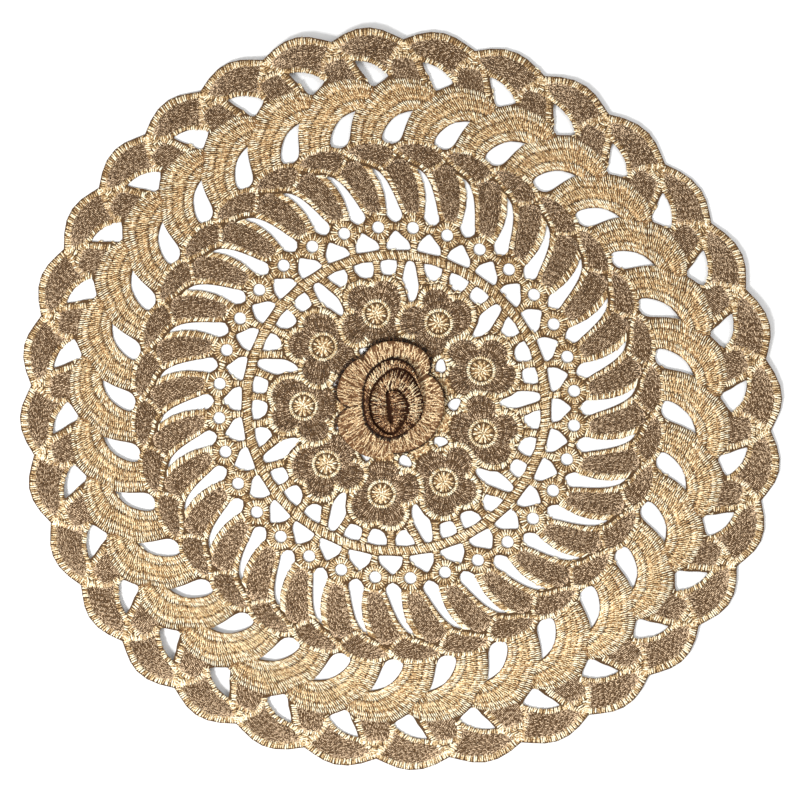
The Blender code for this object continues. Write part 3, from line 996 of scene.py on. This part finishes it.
# Each row's start and end, in shares of the petal's reach, and its pitch in mm
PETAL_ROWS = (
    (0.42, 0.56, 0.72), (0.52, 0.68, 0.72), (0.63, 0.79, 0.7), (0.74, 0.9, 0.68), (0.86, 0.99, 0.65),
)
SEAM_SHARE = 0.965  # of half a petal's width, past which the seam stays clear of stitches: painted shade
starts, ends, tones = [], [], []
for low, high, pitch in PETAL_ROWS:
    count = round(2 * math.pi * PETAL_REACH * (low + high) / 2 / pitch)
    turn = 360 * (np.arange(count) + 0.2 * chance.normal(size=count)) / count
    slip = PETAL_SLIP * chance.normal(size=(2, count))
    start = np.array(rose_petal(turn, low + slip[0]))
    end_turn = turn + PETAL_FAN * chance.normal(size=count)
    end = np.array(rose_petal(end_turn, np.minimum(high + slip[1], 1)))
    clear = ((start[2] < SEAM_SHARE) & (end[2] < SEAM_SHARE)) | beside_open_seam(turn)
    starts.append(start[:2, clear])
    ends.append(end[:2, clear])
    shade = np.interp(turn[clear] % 360, *np.array(PETAL_TONES).T)
    tones.append(uneven(clear.sum(), 0.0, 0.9) + shade - INNER_PAINTED_SHADE * (low < 0.5))
sew_on_rose("rose_petal_stitches", ROSE_CENTRE, starts, ends, PETAL_STITCH, PETAL_TAN, 0.85, (0.5, 1.0),
            np.concatenate(tones))

# Near-black thread: partly real seam thread, partly painted shade round the petals and the roll's foot.
SEAM_AND_SHADE = thread("seam_and_shade_thread", (0.008, 0.004, 0.002), (0.03, 0.014, 0.007), (0.16, 0.08, 0.035), roughness=0.7)
SEAM_PITCH = 0.8
seam_and_shade_stitches = []
# The dark stitches round the petals, partly seam thread and partly painted shade of their raised edges:
# start and end in degrees, inner and outer edge in shares of the reach
for first, last, low, high in ((38, 205, 0.99, 1.065), (5, 38, 1, 1.04), (-88, -35, 1, 1.03)):
    turn = np.linspace(first, last, 200)
    sides = ((ROSE_CENTRE + rose_petal(turn, share)[0]) * MM for share in (low, high))
    seam_and_shade_stitches.append(satin(*sides, pitch=SEAM_PITCH))
# The notch gets the same dark line: seam thread and painted shade.
notch = ROSE_CENTRE + np.linspace(16.5, 23.5, 30) * np.exp(1j * np.radians(np.linspace(188, 184, 30)))
seam_and_shade_stitches.append(satin(*line_edges(notch * MM, 1.6), pitch=SEAM_PITCH))
sew("rose_seam_and_shade", together(*seam_and_shade_stitches), SHORT_STITCH, SEAM_AND_SHADE, 0.9, (0.5, 0.9), (0, 1),
    levels=(PETAL_UNDERSIDE + 0.4, PETAL_UNDERSIDE), under=False)

# The rose's rolled middle: a narrow strip of satin wound on edge round a long slit, and sewn onto the
# petals. It starts at the slit's top and winds clockwise. Its last turn is gold at the top, and darker on
# the left and below, partly deep red-brown thread and partly painted shade in the fold.
ROLL_OFFSET = 1.0 + 1.7j
ROLL_UNDERSIDE = 3.5
ROLL_EDGE = 6.8
ROLL_CROWN = 9.9
ROLL_FOLD = 2.3
ROLL_FULL_WIDTH = 4.0
ROLL_REACH = 15.6, 20.4
SLIT_TOP = -3.5 + 2.9j
SLIT_BOTTOM = -1.5 - 12.1j
# The fold between the turns in mm from the roll's middle, clockwise from the slit's top, eight to a turn
ROLL_FOLDS = (
    (-3.5, 2.9), (2.9, 3.3), (7, -3.3), (5.5, -10.5), (-1, -18), (-9.3, -13), (-12.1, -3.5),
    (-10, 6), (-1.5, 14.2), (7.5, 12.6), (14.9, -1), (11.5, -13), (-1.5, -20.2), (-12.6, -14.4),
    (-15.6, -2), (-13, 11.6), (-2, 20), (9.6, 15.4), (14.9, -1),
)
ROLL_END = 1 + (len(ROLL_FOLDS) - 1) / 8
CURL = ((-3.5, 2.9), (-0.7, 6.2), (5.1, 9.2))  # where the strip's first edge turns over
CURL_DEPTH = 0.5
CURL_REACH = 0.6
# Turns of the strip, and how light its thread is there; the low tones on the last turn's left and lower side
# are partly painted shade
ROLL_TONES = (
    (1, 0.35), (1.25, 0.25), (1.45, 0), (1.6, 0.2), (1.75, 0.4), (1.9, 0.5), (2, 0.45), (2.1, 0.5),
    (2.25, 0.7), (2.36, 0.5), (2.45, -0.1), (2.6, -0.1), (2.78, 0), (2.84, 0.4), (2.9, 0.85), (2.98, 0.65),
    (3.05, 0.35), (3.25, 0.2),
)


def fold(turns):
    """The fold's place in mm after so many turns: the first turn goes down and up the slit."""
    line = smooth(np.array(ROLL_FOLDS) @ (1, 1j), 12)
    slit = SLIT_TOP + (SLIT_BOTTOM - SLIT_TOP) * (1 - np.cos(2 * math.pi * turns)) / 2
    return np.where(turns <= 1, slit, np.interp(turns, np.linspace(1, ROLL_END, len(line)), line))


def roll_point(turns, share):
    """A point across the strip's upper side after so many turns: its place and its height in mm."""
    inner, outer = fold(turns - 1), fold(turns)
    place = inner + (outer - inner) * share
    spread = (place.real / ROLL_REACH[0]) ** 2 + (place.imag / ROLL_REACH[1]) ** 2
    arch = np.sqrt(np.maximum(0, np.sin(math.pi * share)))
    arch = arch * np.minimum(1, np.abs(outer - inner) / ROLL_FULL_WIDTH)
    height = ROLL_EDGE + (ROLL_CROWN - ROLL_EDGE) * np.maximum(0, 1 - spread) - ROLL_FOLD * (1 - arch)
    curl = smooth(np.array(CURL) @ (1, 1j), 8)
    away = np.abs(place[..., None] - curl).min(axis=-1)
    return place, height - CURL_DEPTH * np.exp(-((away / CURL_REACH) ** 2))


def wound_core(centre):
    """The closed solid below the stitches: rows across the strip, then its wall and underside."""
    steps, across = 96, 8
    turns, shares = np.meshgrid(1 + np.arange(round((ROLL_END - 1) * steps) + 1) / steps,
                                np.linspace(0, 1, across + 1), indexing="ij")
    place, height = roll_point(turns, shares)
    place = centre + place
    bm = bmesh.new()
    grid = [
        [bm.verts.new(corner) for corner in row]
        for row in np.stack([place.real, place.imag, height], axis=-1) * MM
    ]
    for row, following in zip(grid, grid[1:]):
        for share in range(across):
            bm.faces.new((row[share], following[share], following[share + 1], row[share + 1]))
    outline = [row[-1] for row in grid[-steps - 1:-1]]
    feet = [bm.verts.new((vert.co.x, vert.co.y, ROLL_UNDERSIDE * MM)) for vert in outline]
    for step in range(steps):
        after = (step + 1) % steps
        bm.faces.new((outline[step], outline[after], feet[after], feet[step]))
    bm.faces.new(feet)
    return closed_up(bm)


# The core's near-black red-brown shows in the folds between the turns: partly red-brown thread, partly
# painted shade.
RED_NET = net_thread("red_brown_net", (0.008, 0.003, 0.0015), (0.035, 0.012, 0.005))
roll_centre = ROSE_CENTRE + ROLL_OFFSET
roll = placed_cloth("rose_roll_core", wound_core(roll_centre), RED_NET)
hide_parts("rose_roll")

ROLL_PITCH = 0.85
ROLL_MARGIN = 0.65  # mm that the stitches keep from the folds
FIRST_MARGIN = 1.7  # times as much, on the first turn's inner side
ROLL_SLIP = 0.03  # of the strip's width, at their ends
TONE_SPREAD = 0.25
starts, ends, tones = [], [], []
turns = np.linspace(1.04, ROLL_END - 0.03, 2400)
for low, high in ((0, 0.56), (0.44, 1)):
    run = run_along(roll_point(turns, high)[0])
    at = np.interp(np.arange(0.4, run[-1], ROLL_PITCH), run, turns)
    count = len(at)
    margin = ROLL_MARGIN / np.abs(fold(at) - fold(at - 1))
    inner_margin = np.where(at < 2, FIRST_MARGIN, 1) * margin
    start = np.maximum(low, inner_margin) + ROLL_SLIP * chance.normal(size=count)
    end = np.minimum(high, 1 - margin) + ROLL_SLIP * chance.normal(size=count)
    starts.append(roll_point(at, start))
    ends.append(roll_point(at + 0.004 * chance.normal(size=count), end))
    tones.append(np.interp(at, *np.array(ROLL_TONES).T) + TONE_SPREAD * chance.normal(size=count))

# Stitches round the roll's foot, the dark ones painted shade round its bottom and left side: how far out
# they reach in mm, and the turn where they reach farthest
FOOT_REACH = 0.8
FOOT_WIDER = 1.1
FOOT_WIDEST = 2.56
for name, material, parts in (
    ("rose_roll_foot_shade", SEAM_AND_SHADE, ((2.43, 3.14),)), ("rose_roll_side", BRONZE, ((2.25, 2.43), (3.14, 3.25)))
):
    foot_ends = []
    for first, last in parts:
        turns = np.linspace(first, last, 200)
        foot = roll_point(turns, 1)[0]
        reach = FOOT_REACH + FOOT_WIDER * np.exp(-(((turns - FOOT_WIDEST) / 0.12) ** 2))
        sides = ((roll_centre + foot * (1 + out / np.abs(foot))) * MM for out in (-0.4, reach))
        foot_ends.append(satin(*sides, pitch=SEAM_PITCH))
    sew(name, together(*foot_ends), SHORT_STITCH, material, 0.95, 0.8, (0, 0.6),
        levels=(ROLL_UNDERSIDE + 0.6, ROLL_UNDERSIDE - 0.7), under=False)
sew_on_rose("rose_roll_stitches", roll_centre, starts, ends, SATIN_STITCH, BRONZE, 1.0, 0.9,
            np.clip(np.concatenate(tones), 0, 1))

# The table and light: a plain white surface under plain soft studio light, with the key from the lower left.
bm = bmesh.new()
bmesh.ops.create_grid(bm, x_segments=1, y_segments=1, size=1.5)
floor_mesh = bpy.data.meshes.new("table")
bm.to_mesh(floor_mesh)
bm.free()
paper, tree, shader = new_material("white_table")
feed(tree, shader, {"Base Color": (0.68, 0.68, 0.68, 1), "Roughness": 0.9})
floor_mesh.materials.append(paper)
table = new_object("table", floor_mesh)

world = bpy.data.worlds.new("studio")
bpy.context.scene.world = world
world.use_nodes = True
feed(world.node_tree, world.node_tree.nodes["Background"], {"Color": (1, 1, 1, 1), "Strength": 0.9})


def soft_light(name, place, size, power):
    light = new_object(name, bpy.data.lights.new(name, "AREA"))
    light.data.shape = "DISK"
    light.data.size = size
    light.data.energy = power
    light.location = place
    light.rotation_euler = (-Vector(place)).to_track_quat("-Z", "Y").to_euler()


soft_light("key", (-0.62, -0.62, 0.9), 0.35, 20)
soft_light("fill", (0.8, 0.5, 1.1), 0.9, 5)
bpy.context.scene.view_settings.view_transform = "Standard"
